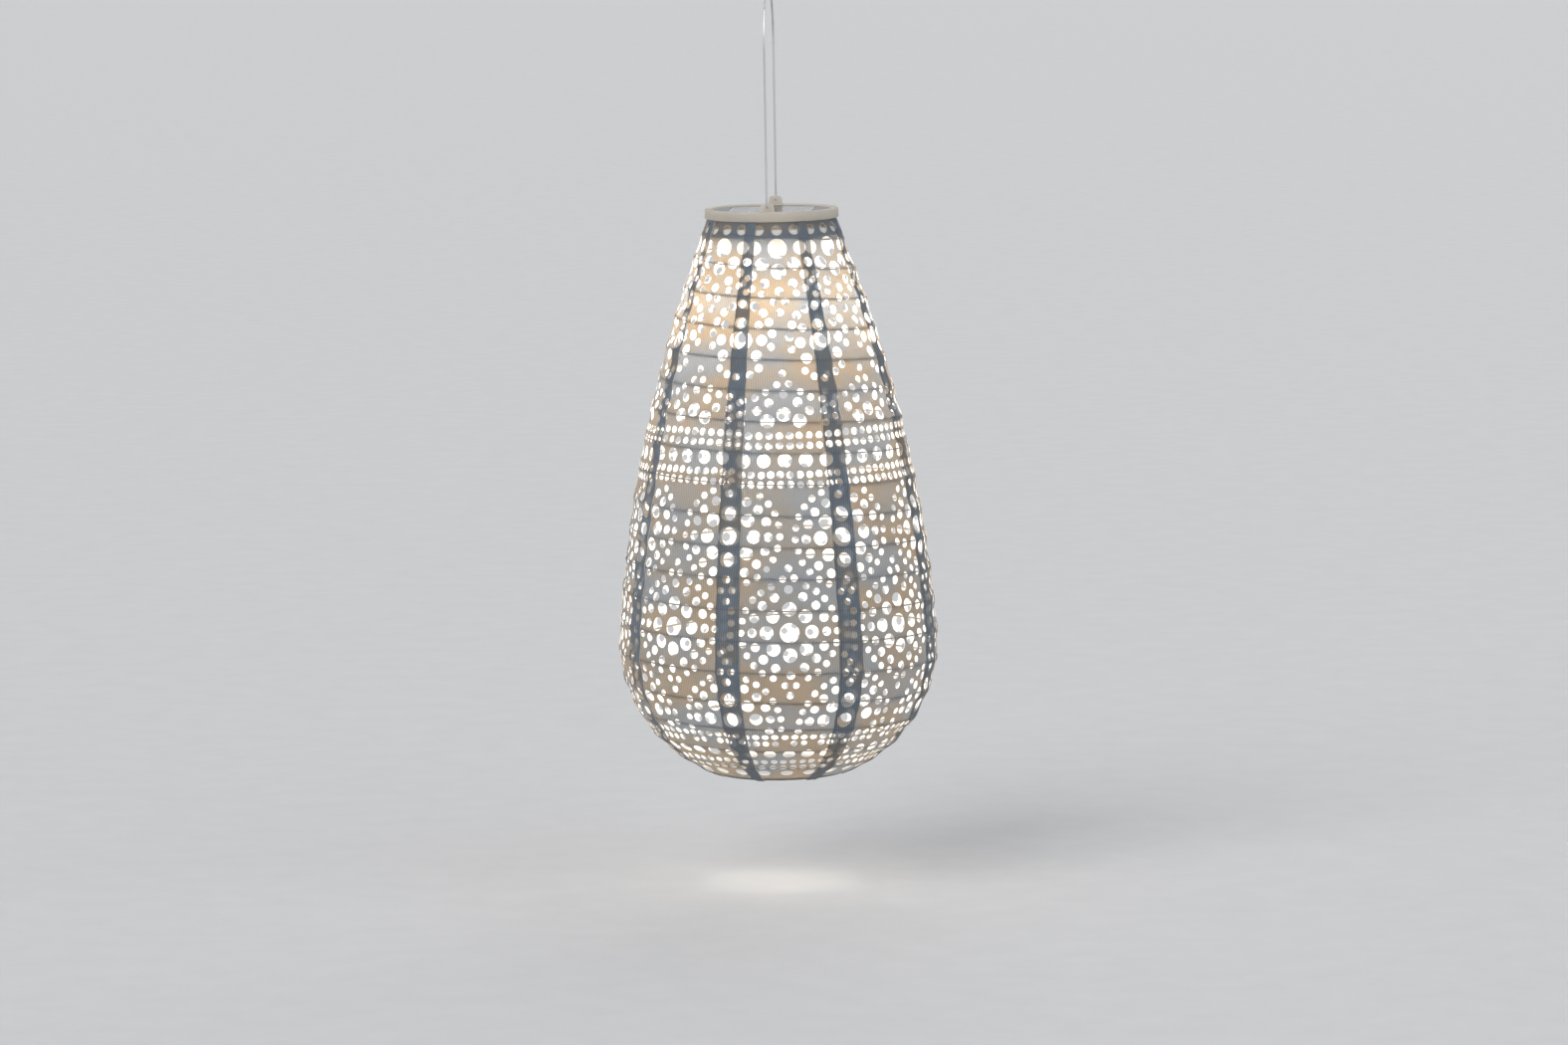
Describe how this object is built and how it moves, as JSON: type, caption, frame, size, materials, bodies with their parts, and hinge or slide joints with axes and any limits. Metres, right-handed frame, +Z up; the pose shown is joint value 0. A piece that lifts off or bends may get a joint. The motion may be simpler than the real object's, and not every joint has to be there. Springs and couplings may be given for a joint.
{
  "type": "hanging solar lantern",
  "caption": "Collapsible teardrop cloth lantern on a wire bail, with a lift-out round solar cap, battery door and lamp inside.",
  "frame": {"origin": "the hang point, at the inside of the crown of the wire bail", "axes": "+Z up along the lantern's axis, +Y along the bail's hinge line through the two collar tabs, front at -Y"},
  "size_m": [0.177, 0.177, 0.4378],
  "materials": {
    "bail_steel": "bright drawn wire",
    "collar_plastic": "light warm grey, fine satin",
    "cover_plastic": "light warm grey, fine satin",
    "cup_plastic": "light grey, satin",
    "cloth": "off-white ribbed synthetic cloth, laser cut",
    "hoop_steel": "plain wire",
    "rib_steel": "spring wire",
    "backing_board": "black laminate",
    "silicon": "blue-black silicon",
    "resin": "clear cast resin",
    "seal_rubber": "black",
    "screw_steel": "zinc plated",
    "board_laminate": "green solder mask",
    "chip_plastic": "black epoxy",
    "choke_case": "black sleeve",
    "lamp_epoxy": "clear epoxy, lit warm white",
    "bezel_plastic": "white",
    "cell_sleeve": "plain sleeve",
    "contact_nickel": "nickel plated",
    "switch_plastic": "black",
    "lead_insulation": "insulated wire"
  },
  "bodies": {
    "bail": {"hanging_bail": "bail_steel"},
    "collar": {"top_collar": "collar_plastic", "top_hoop": "hoop_steel", "top_hem": "cloth", "gore_panel_1": "cloth", "gore_panel_2": "cloth", "gore_panel_3": "cloth", "gore_panel_4": "cloth", "gore_panel_5": "cloth", "gore_panel_6": "cloth", "gore_panel_7": "cloth", "gore_panel_8": "cloth", "rib_coil": "rib_steel"},
    "mouth": {"bottom_hoop": "hoop_steel", "bottom_hem": "cloth"},
    "switch": {"switch_knob": "switch_plastic"},
    "door": {"battery_door": "cup_plastic"},
    "module": {"module_cover": "cover_plastic", "solar_backing": "backing_board", "solar_cells": "silicon", "panel_glaze": "resin", "module_base": "cup_plastic", "seal_ring": "seal_rubber", "housing_screws": "screw_steel", "board_screws": "screw_steel", "circuit_board": "board_laminate", "driver_chip": "chip_plastic", "choke_coil": "choke_case", "led_lamp": "lamp_epoxy", "led_bezel": "bezel_plastic", "battery_cell": "cell_sleeve", "positive_plate": "contact_nickel", "negative_plate": "contact_nickel", "negative_spring": "contact_nickel", "switch_body": "switch_plastic", "panel_leads": "lead_insulation", "battery_leads": "lead_insulation"}
  },
  "joints": [
    {"name": "bail_swing", "type": "hinge", "parent": "bail", "child": "collar", "pos_m": [0, 0, -0.1214], "axis": [0, 1, 0], "range_deg": [-90, 90]},
    {"name": "module_lift", "type": "slide", "parent": "collar", "child": "module", "axis": [0, 0, 1], "range_m": [0, 0.08]},
    {"name": "shade_collapse", "type": "slide", "parent": "collar", "child": "mouth", "axis": [0, 0, 1], "range_m": [0, 0.265], "deforming": ["gore_panel_1", "gore_panel_2", "gore_panel_3", "gore_panel_4", "gore_panel_5", "gore_panel_6", "gore_panel_7", "gore_panel_8", "rib_coil"]},
    {"name": "door_hinge", "type": "hinge", "parent": "module", "child": "door", "pos_m": [0, 0.01425, -0.1466], "axis": [1, 0, 0], "range_deg": [0, 95]},
    {"name": "switch_slide", "type": "slide", "parent": "module", "child": "switch", "axis": [1, 0, 0], "range_m": [0, 0.004]}
  ]
}
